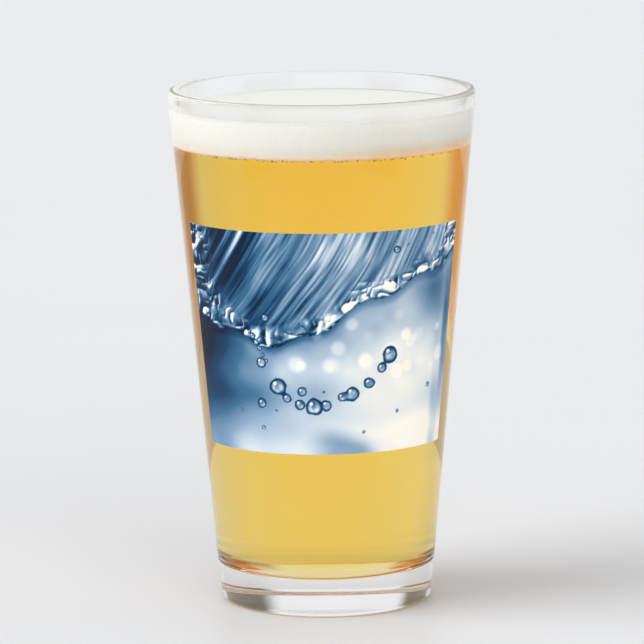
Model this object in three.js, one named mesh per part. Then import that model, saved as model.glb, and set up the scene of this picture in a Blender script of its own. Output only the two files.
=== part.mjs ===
// A 16 oz pint glass: one pressed glass body with a two-layer ink print on its wall, full of beer
// with a foam head. Millimetres, +Z up, origin at the centre of the base on the table, print facing -Y.
import * as THREE from 'three';
import { mergeVertices } from 'three/addons/utils/BufferGeometryUtils.js';

// Driving dimensions
const GLASS_HEIGHT = 149.2;
const RIM_RADIUS = 44.45;
const FOOT_RADIUS = 30.6; // of the wall's straight line, carried down to the table
const HEEL_RADIUS = 1.5; // rounding between the wall and the bearing ring
const LIP_RADIUS = 1.35; // half the wall's thickness at the rim, which is fully rounded
const WALL_AT_FLOOR = 4.2;
const FLOOR_HEIGHT = 10.2; // inside floor above the table
const FLOOR_CORNER_RADIUS = 5.5;
const BEARING_RING_WIDTH = 2.5;
const RECESS_DEPTH = 1.3; // of the dome under the base
const BEER_TOP = 133.3;
const FOAM_TOP = 144.1;
const LIQUID_GAP = 0.3; // clearance round the beer and the foam
const PRINT_BOTTOM = 48.6;
const PRINT_TOP = 112.8;
const PRINT_STEPS = 40; // wall facets that the print covers
const INK_GAP = 0.03;
const WHITE_INK = 0.07; // thickness
const COLOUR_INK = 0.05; // thickness

// Facets
const WALL_STEPS = 108; // round the axis
const ARC_STEPS = 6; // in each rounded corner
const LIP_STEPS = 10;
const RECESS_STEPS = 4;

const STEP_ANGLE = (2 * Math.PI) / WALL_STEPS;
const LIP_HEIGHT = GLASS_HEIGHT - LIP_RADIUS; // of the lip's centre
const OUTER_SLOPE = (RIM_RADIUS - FOOT_RADIUS) / LIP_HEIGHT;
const INNER_LIP_RADIUS = RIM_RADIUS - 2 * LIP_RADIUS;
const INNER_FLOOR_RADIUS = outerRadius(FLOOR_HEIGHT) - WALL_AT_FLOOR;
const INNER_SLOPE = (INNER_LIP_RADIUS - INNER_FLOOR_RADIUS) / (LIP_HEIGHT - FLOOR_HEIGHT);

function outerRadius(height) {
  return FOOT_RADIUS + OUTER_SLOPE * height;
}

function innerRadius(height) {
  return INNER_FLOOR_RADIUS + INNER_SLOPE * (height - FLOOR_HEIGHT);
}

// Points on an arc in the profile plane, from one angle to another
function arc(centreRadius, centreHeight, radius, fromAngle, toAngle, steps) {
  const points = [];
  for (let i = 0; i <= steps; i += 1) {
    const angle = fromAngle + ((toAngle - fromAngle) * i) / steps;
    const r = centreRadius + radius * Math.cos(angle);
    const z = centreHeight + radius * Math.sin(angle);
    points.push(new THREE.Vector2(r, z));
  }
  return points;
}

// The rounded corner where a level floor meets a wall that leans outwards by the given slope.
// wallRadius is the wall's radius at the floor's own height.
function floorCorner(wallRadius, floorHeight, slope, radius) {
  const lean = Math.atan(slope);
  const centreHeight = floorHeight + radius;
  const centreRadius = wallRadius + slope * radius - radius / Math.cos(lean);
  return arc(centreRadius, centreHeight, radius, -Math.PI / 2, -lean, ARC_STEPS);
}

// A profile turned about +Z. It starts and ends on the axis and runs outwards from the bottom.
function turned(profile) {
  const geometry = new THREE.LatheGeometry(profile, WALL_STEPS);
  geometry.rotateX(Math.PI / 2);
  return geometry;
}

function named(name, geometry, colour, roughness) {
  const material = new THREE.MeshStandardMaterial({ color: colour, roughness, metalness: 0 });
  const mesh = new THREE.Mesh(geometry, material);
  mesh.name = name;
  return mesh;
}

// The glass in section: dome under the base, bearing ring, heel, outer wall, lip, inner wall, floor
function glassBody() {
  const heelCorner = floorCorner(FOOT_RADIUS, 0, OUTER_SLOPE, HEEL_RADIUS);
  const recessRadius = heelCorner[0].x - BEARING_RING_WIDTH;
  const recess = [];
  for (let i = 0; i <= RECESS_STEPS; i += 1) {
    const share = i / RECESS_STEPS;
    recess.push(new THREE.Vector2(recessRadius * share, RECESS_DEPTH * (1 - share * share)));
  }
  const outerLean = Math.atan(OUTER_SLOPE);
  const innerLean = Math.atan(INNER_SLOPE);
  const lipCentre = RIM_RADIUS - LIP_RADIUS / Math.cos(outerLean);
  const lip = arc(lipCentre, LIP_HEIGHT, LIP_RADIUS, -outerLean, Math.PI - innerLean, LIP_STEPS);
  const corner = floorCorner(INNER_FLOOR_RADIUS, FLOOR_HEIGHT, INNER_SLOPE, FLOOR_CORNER_RADIUS);
  corner.reverse();
  const profile = [...recess, ...heelCorner, ...lip, ...corner, new THREE.Vector2(0, FLOOR_HEIGHT)];
  return named('glass_body', turned(profile), 0xdfe8e6, 0.05);
}

function beer() {
  const floor = FLOOR_HEIGHT + LIQUID_GAP;
  const top = BEER_TOP - LIQUID_GAP / 2;
  const radiusAtFloor = innerRadius(floor) - LIQUID_GAP;
  const cornerRadius = FLOOR_CORNER_RADIUS - LIQUID_GAP;
  const corner = floorCorner(radiusAtFloor, floor, INNER_SLOPE, cornerRadius);
  const profile = [
    new THREE.Vector2(0, floor),
    ...corner,
    new THREE.Vector2(innerRadius(top) - LIQUID_GAP, top),
    new THREE.Vector2(0, top),
  ];
  return named('beer', turned(profile), 0xe9b23a, 0.1);
}

function foamHead() {
  const bottom = BEER_TOP + LIQUID_GAP / 2;
  const profile = [
    new THREE.Vector2(0, bottom),
    new THREE.Vector2(innerRadius(bottom) - LIQUID_GAP, bottom),
    new THREE.Vector2(innerRadius(FOAM_TOP) - LIQUID_GAP, FOAM_TOP),
    new THREE.Vector2(0, FOAM_TOP),
  ];
  return named('foam_head', turned(profile), 0xf1efe6, 0.9);
}

// A thin sheet wrapped on the wall's facets: a flat box whose width becomes the angle round the
// glass, whose height stays the height, and whose thickness becomes the distance out from the wall.
function inkSheet(name, distance, thickness, colour) {
  const sheet = new THREE.BoxGeometry(1, 1, 1, PRINT_STEPS, 1, 1);
  const position = sheet.getAttribute('position');
  for (let i = 0; i < position.count; i += 1) {
    const step = Math.round(position.getX(i) * PRINT_STEPS);
    const angle = step * STEP_ANGLE;
    const height = position.getY(i) > 0 ? PRINT_TOP : PRINT_BOTTOM;
    const radius = outerRadius(height) + distance + (position.getZ(i) > 0 ? thickness : 0);
    position.setXYZ(i, radius * Math.sin(angle), -radius * Math.cos(angle), height);
  }
  sheet.deleteAttribute('normal');
  sheet.deleteAttribute('uv');
  return named(name, mergeVertices(sheet), colour, 0.4);
}

const pintGlass = new THREE.Group();
pintGlass.add(glassBody());
pintGlass.add(inkSheet('print_white_base', INK_GAP, WHITE_INK, 0xf4f4f1));
pintGlass.add(inkSheet('print_colour_layer', 2 * INK_GAP + WHITE_INK, COLOUR_INK, 0x6f8fae));
pintGlass.add(beer());
pintGlass.add(foamHead());

export default pintGlass;
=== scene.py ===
"""A full pint glass: clear pressed glass, a wrapped print of moving water, golden beer and a foam head.

Laid out as an add-on and run as a script. Lengths are in metres unless a name says otherwise.
"""

import math

import bpy
import numpy as np
from bpy.props import FloatProperty, FloatVectorProperty, IntProperty, PointerProperty
from mathutils import Matrix, Vector


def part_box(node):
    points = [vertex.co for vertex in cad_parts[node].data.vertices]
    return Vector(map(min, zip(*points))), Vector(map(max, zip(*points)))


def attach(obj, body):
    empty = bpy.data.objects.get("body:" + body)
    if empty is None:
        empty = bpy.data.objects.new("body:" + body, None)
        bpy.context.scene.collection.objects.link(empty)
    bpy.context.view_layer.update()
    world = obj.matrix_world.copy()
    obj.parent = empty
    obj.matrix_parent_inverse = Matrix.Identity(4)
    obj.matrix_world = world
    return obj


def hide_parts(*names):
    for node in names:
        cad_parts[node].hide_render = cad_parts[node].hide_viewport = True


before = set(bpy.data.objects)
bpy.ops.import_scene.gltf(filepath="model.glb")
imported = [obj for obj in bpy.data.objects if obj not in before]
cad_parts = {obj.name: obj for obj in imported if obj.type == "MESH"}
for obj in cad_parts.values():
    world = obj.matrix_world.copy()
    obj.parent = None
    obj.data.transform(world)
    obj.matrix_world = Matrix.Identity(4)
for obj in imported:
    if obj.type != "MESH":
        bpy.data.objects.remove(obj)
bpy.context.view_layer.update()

bl_info = {
    "name": "Full pint glass",
    "version": (1, 0, 0),
    "blender": (4, 5, 0),
    "location": "3D View > Sidebar > Pint",
    "description": "Makes a printed pint glass, its beer and its foam around the packed frame",
    "category": "Object",
}

MM = 0.001


def height_range(node):
    low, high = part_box(node)
    return low.z, high.z


GLASS_LOW, GLASS_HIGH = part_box("glass_body")
RIM_RADIUS = GLASS_HIGH.x
GLASS_HEIGHT = GLASS_HIGH.z
BEER_TOP = (height_range("beer")[1] + height_range("foam_head")[0]) / 2
FOAM_TOP = height_range("foam_head")[1]
PRINT_BOTTOM, PRINT_TOP = height_range("print_colour_layer")
PICTURE_WIDTH = 1.37  # of the picture, in picture heights


# ---------------------------------------------------------------- shader maths


class Wire:
    """A shader socket that does arithmetic: each operator adds its own Math node."""

    def __init__(self, graph, socket):
        self.graph = graph
        self.socket = socket

    def math(self, operation, *others):
        return self.graph.add("ShaderNodeMath", {"operation": operation}, [self, *others])

    def __add__(self, other):
        return self.math("ADD", other)

    __radd__ = __add__

    def __sub__(self, other):
        return self.math("SUBTRACT", other)

    def __rsub__(self, other):
        return self.graph.add("ShaderNodeMath", {"operation": "SUBTRACT"}, [other, self])

    def __mul__(self, other):
        return self.math("MULTIPLY", other)

    __rmul__ = __mul__

    def __pow__(self, other):
        return self.math("POWER", other)

    def ramp(self, *stops):
        """The colour at this value, between (place, colour) stops."""
        return self.graph.add("ShaderNodeValToRGB", {"stops": stops}, [self])

    def spread(self, low, high, to_low=0.0, to_high=1.0):
        """This value carried smoothly from one range to another, and clamped."""
        settings = {"interpolation_type": "SMOOTHSTEP"}
        return self.graph.add("ShaderNodeMapRange", settings, [self, low, high, to_low, to_high])

    def part(self, output):
        """Another output of the node that made this socket."""
        return Wire(self.graph, self.socket.node.outputs[output])


class Graph:
    """The node tree of a new material, or of the world given, emptied and ready to be filled."""

    def __init__(self, owner):
        if isinstance(owner, str):
            owner = bpy.data.materials.new(owner)
            owner.use_nodes = True
        self.material = owner
        self.tree = owner.node_tree
        self.tree.nodes.clear()

    def add(self, kind, settings=None, values=None, output=0):
        """A node of this kind: its settings first, then the values or links of its sockets."""
        node = self.tree.nodes.new(kind)
        for name, value in (settings or {}).items():
            if name == "stops":
                self.set_stops(node.color_ramp, value)
            else:
                setattr(node, name, value)
        if isinstance(values, dict):
            pairs = values.items()
        else:
            pairs = enumerate(values or [])
        for key, value in pairs:
            if isinstance(value, Wire):
                self.tree.links.new(value.socket, node.inputs[key])
            elif value is not None:
                node.inputs[key].default_value = value
        return Wire(self, node.outputs[output]) if len(node.outputs) else node

    @staticmethod
    def set_stops(ramp, stops):
        while len(ramp.elements) < len(stops):
            ramp.elements.new(0.5)
        for element, (place, colour) in zip(ramp.elements, stops):
            element.position = place
            element.color = (*colour, 1.0)

    def object_point(self):
        return self.add("ShaderNodeTexCoord", output="Object")

    def axes(self, vector):
        """The x, y and z of a vector."""
        split = self.add("ShaderNodeSeparateXYZ", values=[vector])
        return split, split.part(1), split.part(2)

    def noise(self, vector, scale, detail=2.0):
        values = {"Vector": vector, "Scale": scale, "Detail": detail}
        return self.add("ShaderNodeTexNoise", values=values)

    def cells(self, vector, scale):
        """Distance to the nearest of scattered points."""
        return self.add("ShaderNodeTexVoronoi", values={"Vector": vector, "Scale": scale})

    def blend(self, factor, first, second, how="MIX"):
        """One colour laid over another by factor."""
        settings = {"data_type": "RGBA", "blend_type": how}
        node = self.add("ShaderNodeMix", settings, {"Factor": factor}).socket.node
        colours = [s for s in node.inputs if s.type == "RGBA"]
        for socket, colour in zip(colours, (first, second)):
            if isinstance(colour, Wire):
                self.tree.links.new(colour.socket, socket)
            else:
                socket.default_value = (*colour, 1.0)
        return Wire(self, [s for s in node.outputs if s.type == "RGBA"][0])

    def bump(self, height, strength, distance):
        values = {"Height": height, "Strength": strength, "Distance": distance}
        return self.add("ShaderNodeBump", values=values)

    def finish(self, surface, volume=None):
        values = {"Surface": surface}
        if volume is not None:
            values["Volume"] = volume
        self.add("ShaderNodeOutputMaterial", values=values)
        return self.material


# ---------------------------------------------------------------- mesh making


def new_piece(name, vertices, faces, materials, kinds=None, sharp_angle=None):
    """A mesh object at the origin from a vertex array and a list of face arrays.

    kinds, where given, holds for each face which of the materials it has.
    """
    mesh = bpy.data.meshes.new(name)
    corners = np.concatenate([face.ravel() for face in faces])
    sizes = np.concatenate([np.full(len(face), face.shape[1]) for face in faces])
    starts = np.concatenate([[0], np.cumsum(sizes)[:-1]])
    mesh.vertices.add(len(vertices))
    mesh.vertices.foreach_set("co", np.asarray(vertices, dtype=np.float32).ravel())
    mesh.loops.add(len(corners))
    mesh.loops.foreach_set("vertex_index", corners.astype(np.int32))
    mesh.polygons.add(len(sizes))
    mesh.polygons.foreach_set("loop_start", starts.astype(np.int32))
    for material in materials:
        mesh.materials.append(material)
    if kinds is not None:
        mesh.polygons.foreach_set("material_index", np.asarray(kinds, dtype=np.int32))
    mesh.update(calc_edges=True)
    mesh.validate()
    mesh.shade_smooth()
    if sharp_angle is not None:
        mesh.set_sharp_from_angle(angle=sharp_angle)
    piece = bpy.data.objects.new(name, mesh)
    bpy.context.scene.collection.objects.link(piece)
    return piece


def turned_piece(name, radius, height, steps, materials, band_kinds=None):
    """A closed figure of revolution.

    A point is (r sin a, -r cos a, z). Rows of radius and height run from the bottom pole outwards and
    round to the top pole, and a goes once round in equal steps. Both may vary with a as well. The faces
    between two rows are a band, and band_kinds says which of the materials each band has.
    """
    angle = np.arange(steps) * (2 * math.pi / steps)
    r = np.broadcast_to(np.asarray(radius).reshape(len(radius), -1), (len(radius), steps))
    z = np.broadcast_to(np.asarray(height).reshape(len(height), -1), (len(height), steps))
    rings = np.stack([r * np.sin(angle), -r * np.cos(angle), z], axis=-1)[1:-1]
    count = len(rings)
    poles = [[0, 0, z[0].mean()], [0, 0, z[-1].mean()]]
    vertices = np.concatenate([rings.reshape(-1, 3), poles])
    here = np.arange(steps)
    there = (here + 1) % steps
    row = np.arange(count - 1)[:, None] * steps
    corners = [row + here, row + there, row + steps + there, row + steps + here]
    quads = np.stack(corners, axis=-1).reshape(-1, 4)
    bottom, top = count * steps, count * steps + 1
    last = (count - 1) * steps
    under = np.stack([np.full(steps, bottom), there, here], axis=-1)
    over = np.stack([np.full(steps, top), last + here, last + there], axis=-1)
    kinds = None
    if band_kinds is not None:
        band_kinds = np.asarray(band_kinds)
        kinds = np.repeat(np.concatenate([band_kinds[1:-1], band_kinds[[0, -1]]]), steps)
    return new_piece(name, vertices, [quads, under, over], materials, kinds)


def arc(centre, radius, start, end, count):
    """Points (r, z) on a circle in the profile plane, from one angle to another."""
    angle = np.linspace(start, end, count)
    return np.stack([centre[0] + radius * np.cos(angle), centre[1] + radius * np.sin(angle)], axis=-1)


def line(start, end, count):
    """Points (r, z) between two points, without the ends."""
    share = np.linspace(0, 1, count + 2)[1:-1, None]
    return np.asarray(start) * (1 - share) + np.asarray(end) * share


def joined(*stretches):
    return np.concatenate([np.atleast_2d(stretch) for stretch in stretches])


def floor_corner(wall_radius, floor, slope, radius, count):
    """The arc that rounds a level floor into a wall leaning out by slope; wall_radius is at the floor."""
    lean = math.atan(slope)
    centre = (wall_radius + slope * radius - radius / math.cos(lean), floor + radius)
    return arc(centre, radius, -math.pi / 2, -lean, count)


# ---------------------------------------------------------------- the glass in section


class GlassShape:
    """The glass's radii at any height, worked out from the frame and the property group."""

    def __init__(self, sizes):
        self.sizes = sizes
        self.lip_height = GLASS_HEIGHT - sizes.lip_radius
        self.outer_slope = (RIM_RADIUS - sizes.foot_radius) / self.lip_height
        floor_radius = self.outer(sizes.floor_height) - sizes.wall_at_floor
        lip_inside = RIM_RADIUS - 2 * sizes.lip_radius
        self.inner_slope = (lip_inside - floor_radius) / (self.lip_height - sizes.floor_height)

    def outer(self, height):
        return self.sizes.foot_radius + self.outer_slope * height

    def inner(self, height):
        lip_inside = RIM_RADIUS - 2 * self.sizes.lip_radius
        return lip_inside + self.inner_slope * (height - self.lip_height)


# ---------------------------------------------------------------- sizes and colours


def length_value(name, description, default):
    """A property that holds a length, shown finely enough for a film of ink."""
    return FloatProperty(name=name, description=description, default=default, unit="LENGTH", precision=6)


def angle_value(name, description, default):
    return FloatProperty(name=name, description=description, default=default, subtype="ANGLE")


def plain_value(name, description, default):
    return FloatProperty(name=name, description=description, default=default)


def colour_value(name, description, default):
    settings = {"name": name, "description": description, "default": default}
    return FloatVectorProperty(subtype="COLOR", min=0, max=1, **settings)


class PintGlassSizes(bpy.types.PropertyGroup):
    foot_radius: length_value("Foot radius", "Radius of the wall's straight line at the table", 30.6 * MM)
    heel_radius: length_value("Heel radius", "Rounding between the wall and the bearing ring", 1.5 * MM)
    lip_radius: length_value(
        "Lip radius", "Half the wall's thickness at the rim, which is fully rounded", 1.35 * MM,
    )
    wall_at_floor: length_value(
        "Wall at the floor", "Thickness of the wall where it meets the inside floor", 4.2 * MM,
    )
    floor_height: length_value("Floor height", "Inside floor above the table", 10.2 * MM)
    corner_radius: length_value(
        "Floor corner", "Rounding between the inside floor and the inside wall", 5.5 * MM,
    )
    ring_width: length_value("Bearing ring", "Width of the flat ring that the glass stands on", 2.5 * MM)
    recess_depth: length_value("Recess", "Height of the dome under the base", 1.3 * MM)
    steps: IntProperty(
        name="Steps", description="Facets round the axis", default=288, min=48, max=512,
    )
    refraction: plain_value("Refraction", "Index of refraction of the glass", 1.5)
    # The crown strip is painted shade: a dark tint on the outer half of the lip, for the dark line that the
    # rounded lip shows.
    crown_depth: length_value(
        "Crown depth", "Depth of the darker strip of glass on the outer half of the lip", 0.18 * MM,
    )
    crown_painted_shade: colour_value("Crown painted shade", "Colour of that strip", (0.30, 0.28, 0.24))
    tint: colour_value("Glass tint", "Colour of the glass", (0.985, 0.992, 0.988))


class PintBeerSizes(bpy.types.PropertyGroup):
    line_bubbles: IntProperty(
        name="Line bubbles", description="Small bubbles where the beer meets the foam at the wall",
        default=260, min=0, max=1000,
    )
    film: length_value("Film", "Gap that keeps the beer's face clear of the glass's", 0.02 * MM)
    foam_reach: length_value(
        "Foam reach", "How far the foam reaches into the wall, so that no air shows between them", 0.08 * MM,
    )
    refraction: plain_value("Refraction", "Index of refraction of beer", 1.34)
    absorption: plain_value("Absorption", "How fast the beer takes out colour, per metre", 41.0)
    colour: colour_value("Beer colour", "Colour that the beer absorbs least", (1.0, 0.827, 0.0))
    foam_white: colour_value("Foam white", "Colour of the head", (0.92, 0.92, 0.87))
    line_colour: colour_value(
        "Beer line", "Colour of the wet edge where the foam meets the beer", (0.66, 0.40, 0.14),
    )
    # The two glows below are painted light: emission on the foam, not lamps.
    beer_glow: colour_value(
        "Beer glow", "Light that the lit beer sends up into the foam's lowest edge", (0.30, 0.12, 0.0),
    )
    foam_glow: colour_value(
        "Foam underside", "Light that soaks through to the foam's underside", (0.60, 0.57, 0.50),
    )
    # Painted light: the warm colour laid on the head near the beer, for light shining up through it.
    foam_painted_beer_light: colour_value(
        "Foam near the beer", "Colour of the head where beer shines into it", (0.89, 0.57, 0.28),
    )


class PintPrintSizes(bpy.types.PropertyGroup):
    half_angle: angle_value(
        "Half angle", "How far round the print reaches to each side of its middle", math.radians(200 / 3),
    )
    white_stand_off: length_value("White ink stand-off", "Gap between wall and white ink", 0.03 * MM)
    white_thickness: length_value("White ink thickness", "Thickness of the white undercoat", 0.07 * MM)
    colour_thickness: length_value("Colour ink thickness", "Thickness of the colour layer", 0.05 * MM)
    columns: IntProperty(
        name="Columns", description="Cells across the picture", default=356, min=40, max=400,
    )
    rows: IntProperty(
        name="Rows", description="Cells up the picture", default=262, min=30, max=300,
    )


class PintStageSizes(bpy.types.PropertyGroup):
    camera_distance: length_value(
        "Camera distance", "Level distance from the camera to the glass's axis", 1.257,
    )
    camera_height: length_value("Camera height", "Height of the camera above the table", 0.2945)
    camera_tilt: angle_value("Camera tilt", "How far the camera looks down", math.radians(9.65))
    camera_roll: angle_value("Camera roll", "How far the camera leans, clockwise", math.radians(0.57))
    lens_mm: plain_value("Lens", "Focal length in millimetres on a 36 mm sensor", 245.6)
    floor_colour: colour_value("Floor colour", "Colour of the table top", (0.805, 0.815, 0.835))
    card_azimuth: angle_value(
        "Card azimuth", "Angle of the side cards from straight behind the glass", math.radians(48),
    )
    card_width: angle_value("Card width", "Angle that each side card covers", math.radians(36))
    card_distance: length_value("Card distance", "Distance of the side cards from the glass", 1.1)
    card_height: length_value("Card height", "Top of the side cards above the table", 0.14)
    low_card_distance: length_value("Low card distance", "Distance of the low cards from the glass", 0.45)
    low_card_height: length_value("Low card height", "Top of the low cards above the table", 0.045)
    low_card: colour_value("Low cards", "Colour of the low cards", (0.30, 0.17, 0.06))
    side_room: colour_value(
        "Dim strips", "Colour of the strips that glass sees in the room's corners", (0.16, 0.145, 0.10),
    )
    left_card: colour_value("Left cards", "Colour of the cards on the left", (0.80, 0.46, 0.14))
    right_card: colour_value("Right cards", "Colour of the cards on the right", (0.50, 0.28, 0.10))


# ---------------------------------------------------------------- materials


def clear_glass_material(name, sizes, refraction, lamp_share=0.95, tint=None):
    """Clear soda-lime glass with the faint waviness that pressing leaves.

    Each face lets a share of the lamp light straight through, instead of bending it.
    """
    graph = Graph(name)
    waves = graph.noise(graph.object_point(), 55.0, detail=1.0)
    values = {
        # tint, where given, is the painted shade of the lip's crown; otherwise the glass has its own colour
        "Base Color": (*(tint or sizes.tint), 1.0),
        "Roughness": 0.0,
        "IOR": refraction,
        "Transmission Weight": 1.0,
        "Normal": graph.bump(waves, 0.25, 0.0002),
    }
    glass = graph.add("ShaderNodeBsdfPrincipled", values=values)
    lamp_light = graph.add("ShaderNodeLightPath", output="Is Shadow Ray")
    clear = graph.add("ShaderNodeBsdfTransparent", values=[(lamp_share, lamp_share, lamp_share, 1.0)])
    return graph.finish(graph.add("ShaderNodeMixShader", values=[lamp_light, glass, clear]))


def beer_material(drink):
    """Clear beer, which takes out blue, then green, with depth.

    The wet face of the glass already bends the light by the step from glass to beer, so the beer's own
    faces let it straight through.
    """
    graph = Graph("golden_beer")
    values = {
        "Base Color": (1.0, 1.0, 1.0, 1.0),
        "Roughness": 0.0,
        "IOR": 1.0,
        "Transmission Weight": 1.0,
    }
    liquid = graph.add("ShaderNodeBsdfPrincipled", values=values)
    depth = {"Color": (*drink.colour, 1.0), "Density": drink.absorption}
    return graph.finish(liquid, graph.add("ShaderNodeVolumeAbsorption", values=depth))


def foam_material(drink):
    """Fine white foam: small cells, no gloss, and a painted warm cast standing in for light that comes up
    through the beer.

    The painted cast is stronger towards +X, on the side away from the key light. The underside is painted to
    glow as if daylight soaked down to it, and the lowest few millimetres as if the lit beer shone into them.
    The top millimetre is a little darker: painted shade.
    """
    graph = Graph("beer_foam")
    point = graph.object_point()
    x, y, height = graph.axes(point)
    # Painted light: a warm cast over the lowest 5 mm of the head, stronger towards +X, the side away from the
    # key light.
    low = (height - BEER_TOP).spread(0.0, 5.0 * MM, 1.0, 0.0)
    side = x.spread(-20 * MM, 40 * MM, 0.25, 1.0)
    # Painted glow on the underside, below the beer's top.
    under = (height - BEER_TOP).spread(-0.14 * MM, -0.04 * MM, 1.0, 0.0)
    near = (height - BEER_TOP).spread(0.0, 3.0 * MM, 1.0, 0.0) ** 2
    dots = graph.noise(point, 1500.0, detail=1.0)
    line = (height - BEER_TOP).spread(0.02 * MM, 0.40 * MM, 1.0, 0.0) * dots.spread(0.35, 0.6, 1.0, 0.25)
    # Painted shade: the top millimetre of the head is darker, where light falls on it from above.
    top = (height - FOAM_TOP).spread(-1.2 * MM, -0.2 * MM)
    patches = graph.noise(point, 160.0, detail=3.0)
    # the painted warm light, patchy
    warm = low * side * patches.spread(0.2, 0.8, 0.5, 1.0)
    bubbles = graph.cells(point, 1400.0)
    large = graph.cells(point, 420.0)
    speck = bubbles.spread(0.0, 0.45, 0.95, 1.0) * large.spread(0.02, 0.12, 0.93, 1.0)
    colour = graph.blend(warm, tuple(drink.foam_white), tuple(drink.foam_painted_beer_light))
    colour = graph.blend(line, colour, tuple(drink.line_colour))
    colour = graph.blend(top, colour, tuple(0.88 * c for c in drink.foam_white))
    grey = graph.add("ShaderNodeCombineColor", values=[speck, speck, speck])
    # Painted glow: the lit beer's light in the lowest 3 mm of the head, stronger towards +X.
    glow = graph.blend(near * side.spread(0.25, 1.0, 0.7, 1.0), (0.0, 0.0, 0.0), tuple(drink.beer_glow))
    values = {
        "Base Color": graph.blend(1.0, colour, grey, "MULTIPLY"),
        "Roughness": 0.85,
        "IOR": 1.33,
        "Specular IOR Level": 0.3,
        "Subsurface Weight": 1.0,
        "Subsurface Radius": (1.0, 0.92, 0.8),
        "Subsurface Scale": 0.005,
        "Normal": graph.bump(bubbles + large * 0.5, 0.3, 0.0003),
        "Emission Color": graph.blend(under, glow, tuple(drink.foam_glow)),
        "Emission Strength": 1.0,
    }
    material = graph.finish(graph.add("ShaderNodeBsdfPrincipled", values=values))
    material.cycles.emission_sampling = "NONE"
    return material


def bubble_material():
    """Wet little bubbles, a little uneven, painted amber: painted light standing in for the beer-coloured
    light that clear bubbles show.
    """
    graph = Graph("beer_bubbles")
    shade = graph.noise(graph.object_point(), 700.0)
    values = {
        # the amber is painted light, not a colour of the bubbles
        "Base Color": shade.ramp((0.35, (0.50, 0.27, 0.06)), (0.65, (0.88, 0.64, 0.30))),
        "Roughness": 0.15,
        "IOR": 1.2,
    }
    return graph.finish(graph.add("ShaderNodeBsdfPrincipled", values=values))


def white_ink_material():
    """Flat white ink, a little uneven."""
    graph = Graph("white_ink")
    grain = graph.noise(graph.object_point(), 3000.0)
    shade = grain.ramp((0.3, (0.86, 0.86, 0.84)), (0.7, (0.93, 0.93, 0.92)))
    values = {"Base Color": shade, "Roughness": 0.5}
    return graph.finish(graph.add("ShaderNodeBsdfPrincipled", values=values))


def picture_material():
    """The printed picture: its tone comes with the mesh and becomes inks from navy to cream."""
    graph = Graph("colour_ink_picture")
    tone = graph.add("ShaderNodeAttribute", {"attribute_name": "tone"}, output="Fac")
    inks = tone.ramp(
        (0.00, (0.000, 0.008, 0.030)),
        (0.20, (0.003, 0.040, 0.110)),
        (0.40, (0.040, 0.135, 0.250)),
        (0.62, (0.220, 0.340, 0.480)),
        (0.82, (0.600, 0.680, 0.740)),
        (1.00, (0.960, 0.920, 0.820)),
    )
    grain = graph.noise(graph.object_point(), 4000.0)
    values = {
        "Base Color": inks,
        "Roughness": 0.5,
        "Specular IOR Level": 0.2,
        "Normal": graph.bump(grain, 0.1, 0.00005),
    }
    return graph.finish(graph.add("ShaderNodeBsdfPrincipled", values=values))


def floor_material(colour):
    """Pale, nearly dull table top with a very faint mottle.

    Away from the glass it looks a little brighter to glass and gloss than it is.
    """
    graph = Graph("pale_table")
    point = graph.object_point()
    mottle = graph.noise(point, 9.0, detail=4.0)
    shade = mottle.ramp((0.3, tuple(c * 0.99 for c in colour)), (0.7, tuple(colour)))
    reach = graph.add("ShaderNodeVectorMath", {"operation": "LENGTH"}, [point], output="Value")
    through_glass = graph.add("ShaderNodeLightPath", output="Is Glossy Ray")
    lift = reach.spread(0.035, 0.12, 0.0, 0.05) * through_glass
    lift_colour = graph.add("ShaderNodeCombineColor", values=[lift, lift, lift])
    values = {
        "Base Color": shade,
        "Roughness": 0.45,
        "Specular IOR Level": 0.3,
        "Emission Color": lift_colour,
        "Emission Strength": 1.0,
    }
    material = graph.finish(graph.add("ShaderNodeBsdfPrincipled", values=values))
    material.cycles.emission_sampling = "NONE"
    return material


# ---------------------------------------------------------------- operators


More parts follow.
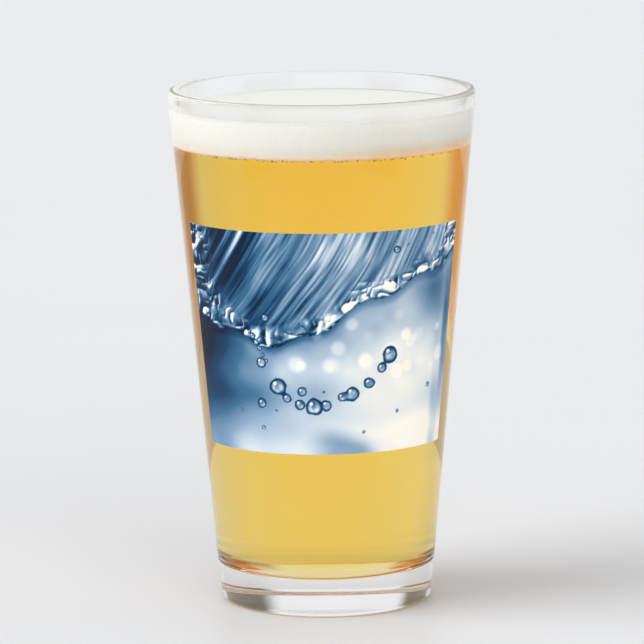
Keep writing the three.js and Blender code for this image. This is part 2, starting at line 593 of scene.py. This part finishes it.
class MakeGlass(bpy.types.Operator):
    """Makes the pressed glass body"""

    bl_idname = "pint.make_glass"
    bl_label = "Glass body"

    def execute(self, context):
        sizes = context.scene.pint_glass
        shape = GlassShape(sizes)
        heel = floor_corner(sizes.foot_radius, 0, shape.outer_slope, sizes.heel_radius, 14)
        recess_radius = heel[0][0] - sizes.ring_width
        share = np.linspace(0, 1, 25)
        recess = np.stack([recess_radius * share, sizes.recess_depth * (1 - share**2)], axis=-1)
        outer_lean = math.atan(shape.outer_slope)
        inner_lean = math.atan(shape.inner_slope)
        lip_centre = (RIM_RADIUS - sizes.lip_radius / math.cos(outer_lean), shape.lip_height)
        lip = arc(lip_centre, sizes.lip_radius, -outer_lean, math.pi - inner_lean, 33)
        floor_radius = shape.inner(sizes.floor_height)
        corner = floor_corner(
            floor_radius, sizes.floor_height, shape.inner_slope, sizes.corner_radius, 22
        )[::-1]
        wet_margin = 0.3 * MM
        wet_height = BEER_TOP + wet_margin
        wet_edge = (shape.inner(wet_height), wet_height)
        dry = joined(
            recess,
            line(recess[-1], heel[0], 3),
            heel,
            line(heel[-1], lip[0], 40),
            lip,
            line(lip[-1], wet_edge, 5),
        )
        wet = joined(
            wet_edge,
            line(wet_edge, corner[0], 40),
            corner,
            line(corner[-1], (0, sizes.floor_height), 12),
            (0, sizes.floor_height),
        )
        profile = joined(dry, wet)
        middle_r, middle_z = ((profile[1:] + profile[:-1]) / 2).T
        dry_kind, wet_kind, heel_kind, crown_kind = range(4)
        kinds = np.full(len(middle_z), dry_kind)
        kinds[len(dry):] = wet_kind
        kinds[(middle_z < sizes.heel_radius) & (middle_r > recess_radius)] = heel_kind
        in_crown = (middle_z > GLASS_HEIGHT - sizes.crown_depth) & (middle_r > lip_centre[0])
        kinds[in_crown] = crown_kind
        drink = context.scene.pint_beer
        materials = [
            clear_glass_material("dry_glass", sizes, sizes.refraction),
            clear_glass_material("wet_glass", sizes, sizes.refraction / drink.refraction),
            clear_glass_material("heel_glass", sizes, sizes.refraction, lamp_share=0.4),
            # painted shade: the outer half of the lip's top is darkened glass
            clear_glass_material("crown_painted_shade_glass", sizes, sizes.refraction, tint=sizes.crown_painted_shade),
        ]
        body = turned_piece("pressed_glass", profile[:, 0], profile[:, 1], sizes.steps, materials, kinds)
        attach(body, "root")
        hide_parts("glass_body")
        return {"FINISHED"}


class MakeBeer(bpy.types.Operator):
    """Makes the beer, which fills the glass and reaches up into the foam"""

    bl_idname = "pint.make_beer"
    bl_label = "Beer"

    def execute(self, context):
        sizes = context.scene.pint_glass
        drink = context.scene.pint_beer
        shape = GlassShape(sizes)
        floor = sizes.floor_height + drink.film
        hidden_in_foam = 1.0 * MM
        top = BEER_TOP + hidden_in_foam
        corner = floor_corner(
            shape.inner(floor) - drink.film, floor, shape.inner_slope, sizes.corner_radius, 22
        )
        rim = (shape.inner(top) - drink.film, top)
        profile = joined(
            (0, floor),
            line((0, floor), corner[0], 12),
            corner,
            line(corner[-1], rim, 40),
            rim,
            line(rim, (0, top), 12),
            (0, top),
        )
        material = beer_material(drink)
        beer = turned_piece("beer_fill", profile[:, 0], profile[:, 1], sizes.steps, [material])
        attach(beer, "root")
        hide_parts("beer")
        return {"FINISHED"}


def ring_noise(angle, waves, seed):
    """A smooth random wobble round a circle: a sum of sine waves with random phases."""
    random = np.random.default_rng(seed)
    total = np.zeros_like(angle)
    for wave in waves:
        total = total + np.sin(wave * angle + random.uniform(0, 2 * math.pi)) / math.sqrt(len(waves))
    return total


def small_balls(middles, sizes, rings=5, sectors=8):
    """Vertices and faces of many balls at once.

    Each is a unit ball, (cos u sin v, cos u cos v, sin u) in rings of u and sectors of v between two
    poles, times its size, at its middle.
    """
    u = (np.arange(1, rings + 1) / (rings + 1) - 0.5) * math.pi
    v = np.arange(sectors) * (2 * math.pi / sectors)
    level, turn = np.meshgrid(u, v, indexing="ij")
    skin = np.stack([np.cos(level) * np.sin(turn), np.cos(level) * np.cos(turn), np.sin(level)], axis=-1)
    unit = np.concatenate([skin.reshape(-1, 3), [[0, 0, -1], [0, 0, 1]]])
    vertices = middles[:, None, :] + sizes[:, None, None] * unit
    here = np.arange(sectors)
    there = (here + 1) % sectors
    row = np.arange(rings - 1)[:, None] * sectors
    bottom = len(unit) - 2
    last = (rings - 1) * sectors
    quads = np.stack([row + here, row + sectors + here, row + sectors + there, row + there], axis=-1)
    under = np.stack([np.full(sectors, bottom), here, there], axis=-1)
    over = np.stack([np.full(sectors, bottom + 1), last + there, last + here], axis=-1)
    offset = (np.arange(len(middles)) * len(unit))[:, None, None]
    faces = []
    for part in (quads, under, over):
        corners = part.shape[-1]
        faces.append((part.reshape(-1, corners) + offset).reshape(-1, corners))
    return vertices.reshape(-1, 3), faces


class MakeBubbles(bpy.types.Operator):
    """Makes the small bubbles that stand along the wall where the beer meets the foam"""

    bl_idname = "pint.make_bubbles"
    bl_label = "Bubbles at the beer line"

    def execute(self, context):
        drink = context.scene.pint_beer
        shape = GlassShape(context.scene.pint_glass)
        random = np.random.default_rng(8)
        count = drink.line_bubbles
        angle = random.uniform(0, 2 * math.pi, count)
        smallest, largest, depth, stand_off = 0.10 * MM, 0.26 * MM, 0.45 * MM, 0.05 * MM
        size = random.uniform(smallest, largest, count)
        height = BEER_TOP - random.uniform(0.0, depth, count)
        radius = shape.inner(height) - drink.film - stand_off - size
        middles = np.stack([radius * np.sin(angle), -radius * np.cos(angle), height], axis=-1)
        vertices, faces = small_balls(middles, size)
        bubbles = new_piece("beer_line_bubbles", vertices, faces, [bubble_material()])
        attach(bubbles, "root")
        return {"FINISHED"}


class MakeFoam(bpy.types.Operator):
    """Makes the foam head, with an uneven lower edge and a soft top that climbs at the wall"""

    bl_idname = "pint.make_foam"
    bl_label = "Foam head"

    def execute(self, context):
        sizes = context.scene.pint_glass
        drink = context.scene.pint_beer
        shape = GlassShape(sizes)
        steps = 720
        ripple, dip, sink, climb_width = 0.12 * MM, 0.2 * MM, 0.35 * MM, 3.0 * MM
        angle = np.arange(steps) * (2 * math.pi / steps)
        edge = BEER_TOP + ripple * ring_noise(angle, [9, 23, 61, 97, 131, 173, 211], 3)
        reach = drink.foam_reach
        share = np.linspace(0, 1, 10)[:, None]
        under_r = share * (shape.inner(BEER_TOP) + reach)
        under_z = BEER_TOP - dip + (edge - BEER_TOP + dip) * share**6
        up = np.linspace(0, 1, 16)[1:, None]
        side_z = edge + (FOAM_TOP - edge) * up
        side_r = shape.inner(side_z) + reach
        inward = np.linspace(0, 1, 60)[1:, None]
        top_r = side_r[-1] * (1 - inward)
        climb = np.exp(-inward * shape.inner(FOAM_TOP) / climb_width)
        top_z = FOAM_TOP - sink * (1 - climb)
        radius = np.concatenate([under_r + 0 * angle, side_r, top_r])
        height = np.concatenate([under_z, side_z, top_z + 0 * angle])
        foam = turned_piece("foam_cap", radius, height, steps, [foam_material(drink)])
        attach(foam, "root")
        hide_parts("foam_head")
        return {"FINISHED"}


# ---------------------------------------------------------------- the printed picture


def smooth(value, low, high):
    """0 below low, 1 above high, and an eased ramp between; low may be the larger."""
    share = np.clip((value - low) / (high - low), 0, 1)
    return share * share * (3 - 2 * share)


def clouds(x, y, seed, octaves=1):
    """Random soft tone from 0 to 1: random numbers on a unit lattice, eased between, octaves summed."""
    table = np.random.default_rng(seed).random((64, 64))
    total = 0
    weight = 0
    for octave in range(octaves):
        scale = 2.0**octave
        px = x * scale + 7.3 * octave
        py = y * scale + 3.1 * octave
        column = np.floor(px).astype(int)
        row = np.floor(py).astype(int)
        fx = smooth(px - column, 0, 1)
        fy = smooth(py - row, 0, 1)
        near, far = column % 64, (column + 1) % 64
        under, over = row % 64, (row + 1) % 64
        low = table[under, near] * (1 - fx) + table[under, far] * fx
        high = table[over, near] * (1 - fx) + table[over, far] * fx
        total = total + (low * (1 - fy) + high * fy) / scale
        weight = weight + 1 / scale
    return total / weight


def hill(x, y, place, spread):
    """A soft bump of height 1 at a place."""
    return np.exp(-(((x - place[0]) / spread[0]) ** 2 + ((y - place[1]) / spread[1]) ** 2))


def soft_background(x, y):
    """Far water out of focus: dark on the left, pale low on the right, with drifting patches."""
    drift = clouds(x * 2.1 + 3, y * 2.1, 11, 3) - 0.5
    fall = 0.36 + 0.46 * smooth(x + 0.5 * (0.8 - y) + 0.55 * drift, 0.15, 1.15)
    patches = clouds(x * 3.0 + 1.5 * y, y * 4.4 - 0.9 * x, 5, 2) - 0.5
    left = 0.30 * smooth(x, 0.30, 0.0) * smooth(y, 0.1, 0.35)
    glow = 0.24 * hill(x, y, (1.0, 0.24), (0.36, 0.20))
    shade = 0.22 * hill(x, y, (0.33, 0.26), (0.20, 0.07)) + 0.18 * hill(x, y, (0.68, 0.28), (0.17, 0.10))
    shade = shade + 0.34 * hill(x, y, (1.22, 0.70), (0.09, 0.10))
    shade = shade + 0.20 * (0.5 - clouds(x * 8 + 2, y * 8, 7, 2)) * smooth(y, 0.15, 0.4)
    foot = 0.34 * smooth(y + 0.05 * np.sin(7 * x), 0.1, 0.0) * smooth(x, 0.55, 0.75) * smooth(x, 1.0, 0.85)
    wall = 0.30 * smooth(x + 0.05 * clouds(x * 2, y * 9, 13), 1.22, 1.33) * clouds(x * 30, y * 2, 14)
    return fall + 0.42 * patches + 0.12 * smooth(y, 0.2, 0.0) - left + glow - shade - foot - wall


def light_spots(x, y, tone):
    """Round lights out of focus, laid over the tone."""
    random = np.random.default_rng(21)
    for _ in range(22):
        place = random.uniform((0.55, 0.36), (1.3, 0.62))
        size = random.uniform(0.012, 0.034)
        disc = smooth(np.hypot(x - place[0], y - place[1]), size * 1.5, size * 0.6)
        tone = tone + disc * random.uniform(0.03, 0.16)
    return tone


def crest(x):
    """Height of the lower edge of the falling sheet of water."""
    sweep = 0.53 + 0.34 * smooth(x, 0.45, 1.35) ** 1.3 + 0.05 * smooth(x, 0.3, 0.0)
    return sweep + 0.035 * np.sin(8.5 * x + 0.8) * smooth(x, 0, 0.3) + 0.018 * np.sin(23 * x + 1.1)


def streaked_sheet(x, y):
    """Water drawn out along arcs round a far centre: its tone changes across the arcs far more than along."""
    across = np.hypot(x + 0.62, y - 1.62) + 0.06 * (clouds(x * 2.2, y * 2.2, 31, 2) - 0.5)
    along = np.arctan2(y - 1.62, x + 0.62)
    bundle = smooth(across, 1.0, 1.1) * smooth(across, 1.56, 1.36)
    bundle = bundle * (0.35 + 0.65 * clouds(across * 9, along * 2.0, 45))
    slope = clouds(across * 34 + 0.35, along * 1.6, 47) - clouds(across * 34, along * 1.6, 47)
    lit = 0.62 * smooth(slope, 0.08, 0.28) - 0.50 * smooth(slope, -0.04, -0.24)
    fine = 0.70 * (clouds(across * 90, along * 4.0, 41, 2) - 0.5)
    broad = 0.26 * (clouds(across * 15, along * 2.2, 43, 2) - 0.5)
    haze = 0.50 * (clouds(x * 5, y * 5, 53, 3) - 0.5)
    scratch = 0.50 * (clouds(across * 120, along * 12.0, 55) - 0.5)
    ground = 0.32 + 0.28 * smooth(x + 0.4 * (y - 0.8), 0.15, 0.9) - 0.18 * smooth(across, 1.12, 0.95)
    deep = 0.15 * smooth(x, 0.5, 0.2) * smooth(y, 0.55, 0.85)
    return ground - deep + bundle * (lit + fine) + broad + (haze + scratch) * (1 - bundle)


def churned(x, y, seed):
    """Broken water seen close: a folded, ridged surface lit from the upper left, with pale glints."""
    bent_x = x + 0.055 * (clouds(x * 11, y * 11, seed, 2) - 0.5)
    bent_y = y + 0.055 * (clouds(x * 11, y * 11, seed + 1, 2) - 0.5)
    tone = 0.44 + 0.35 * (clouds(x * 8, y * 8, seed + 4, 2) - 0.5)
    for scale, weight in ((15, 1.0), (34, 0.8)):
        step = 0.09 / scale
        here = np.abs(2 * clouds(bent_x * scale, bent_y * scale, seed + scale) - 1)
        beside = np.abs(2 * clouds((bent_x - step) * scale, (bent_y + step) * scale, seed + scale) - 1)
        slope = (here - beside) / 0.09
        tone = tone + weight * (0.17 * slope - 0.16 * smooth(here, 0.16, 0.02))
        tone = tone + weight * 0.42 * smooth(slope, 0.7, 1.5)
    return tone + 0.14 * (clouds(x * 120, y * 120, seed + 5) - 0.5)


def drop_groups(random):
    """Flying drops, some run together: for each group, its drops' middles and sizes."""
    share = np.linspace(0, 1, 11)
    string_x = 0.40 + 0.60 * share + random.uniform(-0.012, 0.012, 11)
    string_y = 0.41 - 0.20 * np.sin(math.pi * share**0.8) + 0.02 * share + random.uniform(-0.015, 0.015, 11)
    string_size = np.where(np.arange(11) % 3 == 1, 0.036, 0.022) * random.uniform(0.8, 1.15, 11)
    string = np.stack([string_x, string_y, string_size], axis=-1)
    stray_x = random.uniform(0.25, 1.28, 13)
    low_y = random.uniform(0.04, 0.3, 9)
    high_y = crest(stray_x[9:]) + random.uniform(0.08, 0.2, 4)
    stray_y = np.concatenate([low_y, high_y])
    stray_size = 0.005 + 0.022 * random.random(13) ** 3
    strays = np.stack([stray_x, stray_y, stray_size], axis=-1)
    tail = np.linspace((0.36, 0.53, 0.014), (0.42, 0.42, 0.009), 5)
    return [tail, *np.split(string, [1, 4, 5, 9, 10]), *strays[:, None]]


def flying_drops(x, y, tone):
    """Clear drops over the tone: a dark rim, a paler foot, and a glint near the top of each.

    How far a point is from the middle of a group, as a share of its radius, is sqrt(-log of the sum of
    exp(-(distance / size)^2) over its drops).
    """
    random = np.random.default_rng(12)
    for group in drop_groups(random):
        near = 0.0
        glint = 0.0
        foot = 0.0
        wobble = 1 + 0.9 * (clouds(x * 22, y * 22, 17, 2) - 0.5)
        for middle_x, middle_y, size in group:
            dx, dy = (x - middle_x) / size, (y - middle_y) / size
            bump = np.exp(-(dx * dx + dy * dy) * wobble)
            near = near + bump
            foot = foot - 0.30 * dy * bump
            glint = np.maximum(glint, smooth(np.hypot(dx + 0.35, dy - 0.4), 0.30, 0.10))
        reach = np.sqrt(-np.log(np.clip(near, 1e-12, 1)))
        inside = smooth(reach, 1.06, 0.94)
        mottle = 0.5 * (clouds(x * 60 + 9, y * 60 + 9, 3, 2) - 0.5)
        body = 0.60 + foot + mottle
        drop = body * (1 - 0.78 * smooth(reach, 0.55, 0.90)) + 0.8 * glint
        tone = tone * (1 - inside) + drop * inside
    return tone


def water_picture(across, up):
    """Tone of the picture, 0 navy to 1 cream: a sheet of water falls past a blurred pale background."""
    x = across * PICTURE_WIDTH
    y = up
    height = y - crest(x) - 0.012 * (clouds(x * 30, y * 30, 61, 2) - 0.5)
    sheet = smooth(height, -0.004, 0.004)
    behind = light_spots(x, y, soft_background(x, y)) - 0.20 * smooth(height, -0.05, -0.002)
    tone = behind * (1 - sheet) + streaked_sheet(x, y) * sheet
    band = 0.05 + 0.07 * clouds(x * 7, 0 * y, 63, 2) + 0.10 * smooth(x, 0.35, 0.1)
    above = smooth(height, -0.02, 0.02)
    left = smooth(x + 0.08 * clouds(x * 9, y * 9, 65, 2), 0.21, 0.09) * above
    right = smooth(x - 0.08 * clouds(x * 9, y * 9, 66, 2), 1.18, 1.27) * above
    churn = np.maximum(smooth(height, band * 1.3, band * 0.5) * sheet, np.maximum(left, right))
    froth = churned(x, y, 71) + 0.16 * smooth(x, 0.2, 0.9)
    tone = tone * (1 - 0.9 * churn) + 0.9 * (froth - 0.20 * left - 0.10 * right) * churn
    patchy = 0.5 + 0.5 * smooth(clouds(x * 14, y * 14, 67), 0.2, 0.6)
    tone = tone - 0.38 * np.exp(-(((height - 0.003) / 0.006) ** 2)) * patchy
    tone = tone + 0.25 * np.exp(-(((height - 0.016) / 0.006) ** 2)) * clouds(x * 25, y * 10, 68)
    return np.clip(flying_drops(x, y, tone), 0, 1)


def ink_sheet(name, shape, sizes, distance, thickness, columns, rows, material, tone=None):
    """A thin closed sheet wrapped on the wall.

    A point of its face is at angle a = half_angle * (2 across - 1) and height z, at the wall's radius
    there plus the distance. The back is one row of long faces, and strips close the four edges.
    """
    across = np.linspace(0, 1, columns + 1)
    up = np.linspace(0, 1, rows + 1)
    angle = sizes.half_angle * (2 * across - 1)

    def wrapped(height, radius):
        z = np.broadcast_to(height, np.broadcast_shapes(np.shape(height), angle.shape))
        return np.stack([radius * np.sin(angle), -radius * np.cos(angle), z], axis=-1)

    height = (PRINT_BOTTOM + (PRINT_TOP - PRINT_BOTTOM) * up)[:, None]
    front = wrapped(height, shape.outer(height) + distance + thickness).reshape(-1, 3)
    back_low = wrapped(PRINT_BOTTOM, shape.outer(PRINT_BOTTOM) + distance)
    back_high = wrapped(PRINT_TOP, shape.outer(PRINT_TOP) + distance)
    vertices = np.concatenate([front, back_low, back_high])
    wide = columns + 1
    here = np.arange(columns)
    start = np.arange(rows)[:, None] * wide
    face = np.stack([start + here, start + here + 1, start + wide + here + 1, start + wide + here], -1)
    low = len(front) + here
    high = low + wide
    top = rows * wide + here
    back = np.stack([low + 1, low, high, high + 1], axis=-1)
    under = np.stack([here + 1, here, low, low + 1], axis=-1)
    over = np.stack([top, top + 1, high + 1, high], axis=-1)
    edge = np.arange(rows + 1) * wide
    left = np.concatenate([edge, [len(front) + wide, len(front)]])[None]
    right = np.concatenate([edge[::-1] + columns, [len(front) + wide - 1, len(front) + 2 * wide - 1]])[None]
    faces = [face.reshape(-1, 4), back, under, over, left, right]
    sheet = new_piece(name, vertices, faces, [material], sharp_angle=math.radians(40))
    if tone is not None:
        grid = tone(np.broadcast_to(across, (rows + 1, wide)), np.broadcast_to(up[:, None], (rows + 1, wide)))
        values = np.concatenate([grid.ravel(), np.zeros(2 * wide)]).astype(np.float32)
        layer = sheet.data.attributes.new("tone", "FLOAT", "POINT")
        layer.data.foreach_set("value", values)
    return sheet


class MakePrint(bpy.types.Operator):
    """Makes the white undercoat and the colour picture on it"""

    bl_idname = "pint.make_print"
    bl_label = "Print"

    def execute(self, context):
        shape = GlassShape(context.scene.pint_glass)
        sizes = context.scene.pint_print
        white = ink_sheet(
            "white_undercoat", shape, sizes, sizes.white_stand_off, sizes.white_thickness,
            120, 4, white_ink_material(),
        )
        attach(white, "root")
        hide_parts("print_white_base")
        distance = 2 * sizes.white_stand_off + sizes.white_thickness
        picture = ink_sheet(
            "water_picture", shape, sizes, distance, sizes.colour_thickness,
            sizes.columns, sizes.rows, picture_material(), water_picture,
        )
        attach(picture, "root")
        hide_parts("print_colour_layer")
        return {"FINISHED"}


def soft_sun(name, azimuth, elevation, spread, strength):
    """A distant soft light that gloss doesn't mirror; angles in degrees, azimuth from +Y towards +X."""
    azimuth = math.radians(azimuth)
    elevation = math.radians(elevation)
    data = bpy.data.lights.new(name, "SUN")
    data.angle = math.radians(spread)
    data.energy = strength
    lamp = bpy.data.objects.new(name, data)
    bpy.context.scene.collection.objects.link(lamp)
    level = math.cos(elevation)
    place = Vector((level * math.sin(azimuth), level * math.cos(azimuth), math.sin(elevation)))
    lamp.location = place * 2
    lamp.rotation_mode = "QUATERNION"
    lamp.rotation_quaternion = place.to_track_quat("Z", "Y")
    lamp.visible_glossy = False
    lamp.visible_transmission = False
    return lamp


def side_card(name, place, colour, solidity, width):
    """An upright strip on an arc round the glass that only glass and gloss can see.

    place is its azimuth, distance and height. Its points are at that distance, at angle
    azimuth + (across - 1/2) * width, from just under the table to the top; it fades out to both sides.
    """
    across = np.linspace(0, 1, 25)
    azimuth, distance, top = place
    angle = azimuth + (across - 0.5) * width
    x = distance * np.sin(angle)
    y = distance * np.cos(angle)
    low = np.stack([x, y, np.full_like(x, -0.01)], axis=-1)
    high = np.stack([x, y, np.full_like(x, top)], axis=-1)
    here = np.arange(len(across) - 1)
    wide = len(across)
    quads = np.stack([here, here + 1, here + wide + 1, here + wide], axis=-1)
    graph = Graph(name)
    share = graph.add("ShaderNodeAttribute", {"attribute_name": "across"}, output="Fac")
    window = (share - 0.5) * (share - 0.5) * 4.0
    solid = window.spread(0.05, 1.0, solidity, 0.0)
    glow = graph.add("ShaderNodeEmission", values={"Color": (*colour, 1.0)})
    clear = graph.add("ShaderNodeBsdfTransparent")
    material = graph.finish(graph.add("ShaderNodeMixShader", values=[solid, clear, glow]))
    material.cycles.emission_sampling = "NONE"
    card = new_piece(name, np.concatenate([low, high]), [quads], [material])
    layer = card.data.attributes.new("across", "FLOAT", "POINT")
    layer.data.foreach_set("value", np.concatenate([across, across]).astype(np.float32))
    card.visible_camera = False
    card.visible_diffuse = False
    card.visible_shadow = False
    return card


class MakeStage(bpy.types.Operator):
    """Makes the table top, the lights and the camera"""

    bl_idname = "pint.make_stage"
    bl_label = "Stage"

    def execute(self, context):
        sizes = context.scene.pint_stage
        scene = context.scene
        scene.view_settings.view_transform = "Standard"
        scene.cycles.max_bounces = 24
        scene.cycles.glossy_bounces = 16
        scene.cycles.transmission_bounces = 20
        self.make_floor(sizes)
        self.make_camera(scene, sizes)
        self.make_world(scene, sizes)
        soft_sun("key_light", azimuth=-104, elevation=31, spread=50, strength=2.3)
        soft_sun("front_fill", azimuth=155, elevation=10, spread=60, strength=1.7)
        for side, hand in ((-1, "left"), (1, "right")):
            colour = sizes.left_card if side < 0 else sizes.right_card
            for end, azimuth in (("back", sizes.card_azimuth), ("front", math.pi - sizes.card_azimuth)):
                left_stretch = 1.25 if side < 0 else 1.0
                place = (side * azimuth, sizes.card_distance * left_stretch, sizes.card_height)
                side_card(f"far_{end}_{hand}", place, colour, 1.0, sizes.card_width)
                place = (side * azimuth, sizes.low_card_distance, sizes.low_card_height)
                side_card(f"low_{end}_{hand}", place, sizes.low_card, 0.6, sizes.card_width)
        return {"FINISHED"}

    @staticmethod
    def make_floor(sizes):
        """A round table top: rings of radius r, closed in the middle."""
        steps = 96
        angle = np.arange(steps) * (2 * math.pi / steps)
        radii = np.array([0.1, 0.3, 0.8, 2.0, 6.0, 9.0])[:, None]
        rings = np.stack([radii * np.cos(angle), radii * np.sin(angle), 0 * radii * angle], axis=-1)
        vertices = np.concatenate([rings.reshape(-1, 3), [[0, 0, 0]]])
        vertices[:, 2] -= 0.05 * MM
        here = np.arange(steps)
        there = (here + 1) % steps
        row = np.arange(len(radii) - 1)[:, None] * steps
        quads = np.stack([row + here, row + steps + here, row + steps + there, row + there], axis=-1)
        middle = np.stack([np.full(steps, len(radii) * steps), here, there], axis=-1)
        material = floor_material(sizes.floor_colour)
        floor = new_piece("table_top", vertices, [quads.reshape(-1, 4), middle], [material])

    @staticmethod
    def make_camera(scene, sizes):
        data = bpy.data.cameras.new("camera")
        data.lens = sizes.lens_mm
        data.sensor_width = 36.0
        data.clip_end = 20.0
        camera = bpy.data.objects.new("camera", data)
        scene.collection.objects.link(camera)
        pitch = Matrix.Rotation(math.pi / 2 - sizes.camera_tilt, 4, "X")
        roll = Matrix.Rotation(-sizes.camera_roll, 4, "Z")
        place = Matrix.Translation((-0.56 * MM, -sizes.camera_distance, sizes.camera_height))
        camera.matrix_world = place @ pitch @ roll
        scene.camera = camera

    @staticmethod
    def make_world(scene, sizes):
        """A pale room.

        The camera sees it evenly pale, and it lights dull surfaces less than it looks. Glass and gloss
        see pale walls, brighter behind the glass, with a dim strip up each corner.
        """
        world = bpy.data.worlds.new("pale_room")
        world.use_nodes = True
        graph = Graph(world)
        direction = graph.add("ShaderNodeTexCoord", output="Generated")
        x, y, z = graph.axes(direction)
        azimuth = x.math("ARCTAN2", y)
        folded = (azimuth.math("ABSOLUTE") - math.pi / 2).math("ABSOLUTE")

        def strip(on_side, fade_start, fade_end):
            """A strip up each corner on one side of the room; the angles are in degrees."""
            rise = folded.spread(math.radians(20), math.radians(28)) * x.math(on_side, 0.0)
            return rise * folded.spread(math.radians(fade_start), math.radians(fade_end), 1.0, 0.0)

        strips = strip("GREATER_THAN", 62, 73) + strip("LESS_THAN", 50, 60)
        low = z.spread(0.5, 0.85, 1.0, 0.0)
        wall = y.spread(-0.6, 0.6, 0.75, 0.85)
        bright = graph.add("ShaderNodeCombineColor", values=[wall, wall, wall])
        studio = graph.blend(strips * low, bright, tuple(sizes.side_room))
        glossy = graph.add("ShaderNodeLightPath", output="Is Glossy Ray")
        camera = glossy.part("Is Camera Ray")
        lit_by_room = 0.535
        seen_room = 0.83
        room = graph.blend(camera, (lit_by_room,) * 3, (seen_room,) * 3)
        light = graph.add("ShaderNodeBackground", values={"Color": graph.blend(glossy, room, studio)})
        graph.add("ShaderNodeOutputWorld", values={"Surface": light})
        scene.world = world


class PintPanel(bpy.types.Panel):
    """The steps that make the pint, in order"""

    bl_idname = "VIEW3D_PT_pint"
    bl_label = "Full pint glass"
    bl_space_type = "VIEW_3D"
    bl_region_type = "UI"
    bl_category = "Pint"

    def draw(self, context):
        for operator in OPERATORS:
            self.layout.operator(operator.bl_idname)


OPERATORS = (MakeStage, MakeGlass, MakeBeer, MakeFoam, MakeBubbles, MakePrint)
GROUPS = {
    "pint_glass": PintGlassSizes,
    "pint_beer": PintBeerSizes,
    "pint_print": PintPrintSizes,
    "pint_stage": PintStageSizes,
}


def register():
    for group in GROUPS.values():
        bpy.utils.register_class(group)
    for name, group in GROUPS.items():
        setattr(bpy.types.Scene, name, PointerProperty(type=group))
    for operator in OPERATORS:
        bpy.utils.register_class(operator)
    bpy.utils.register_class(PintPanel)


def unregister():
    bpy.utils.unregister_class(PintPanel)
    for operator in reversed(OPERATORS):
        bpy.utils.unregister_class(operator)
    for name in GROUPS:
        delattr(bpy.types.Scene, name)
    for group in reversed(GROUPS.values()):
        bpy.utils.unregister_class(group)


def main():
    register()
    bpy.ops.pint.make_stage()
    bpy.ops.pint.make_glass()
    bpy.ops.pint.make_beer()
    bpy.ops.pint.make_foam()
    bpy.ops.pint.make_bubbles()
    bpy.ops.pint.make_print()


if __name__ == "__main__":
    main()
